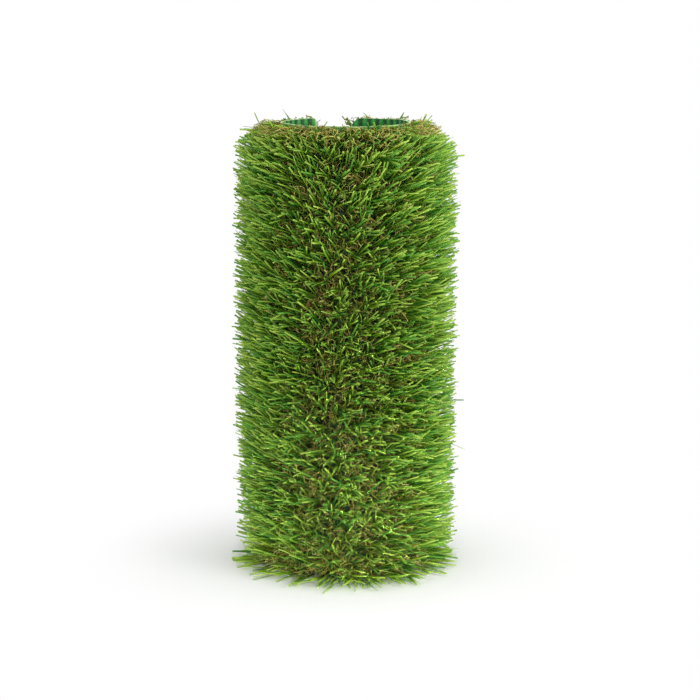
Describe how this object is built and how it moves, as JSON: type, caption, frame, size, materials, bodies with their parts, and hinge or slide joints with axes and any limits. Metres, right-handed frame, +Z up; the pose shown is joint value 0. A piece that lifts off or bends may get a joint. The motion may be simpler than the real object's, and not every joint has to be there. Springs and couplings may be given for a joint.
{
  "type": "roll of artificial turf",
  "caption": "Short strip of artificial turf rolled once with its pile outwards, standing on its cut edge as an open tube with a seam gap at the back.",
  "frame": {"origin": "on the axis of the hollow, at the level of the cut edge that the roll stands on", "axes": "+Z up along the hollow; the seam is at the back, on the +Y side, turned 11 degrees towards -X"},
  "size_m": [0.15, 0.1498, 0.3],
  "materials": {
    "backing": "green backing cloth with a matte latex coat, pale at its cut edges",
    "thatch": "curled tan and brown yarn",
    "blades": "ribbon yarn in mixed greens with a slight sheen"
  },
  "bodies": {
    "root": {"backing": "backing", "thatch": "thatch", "blades": "blades"}
  },
  "joints": []
}
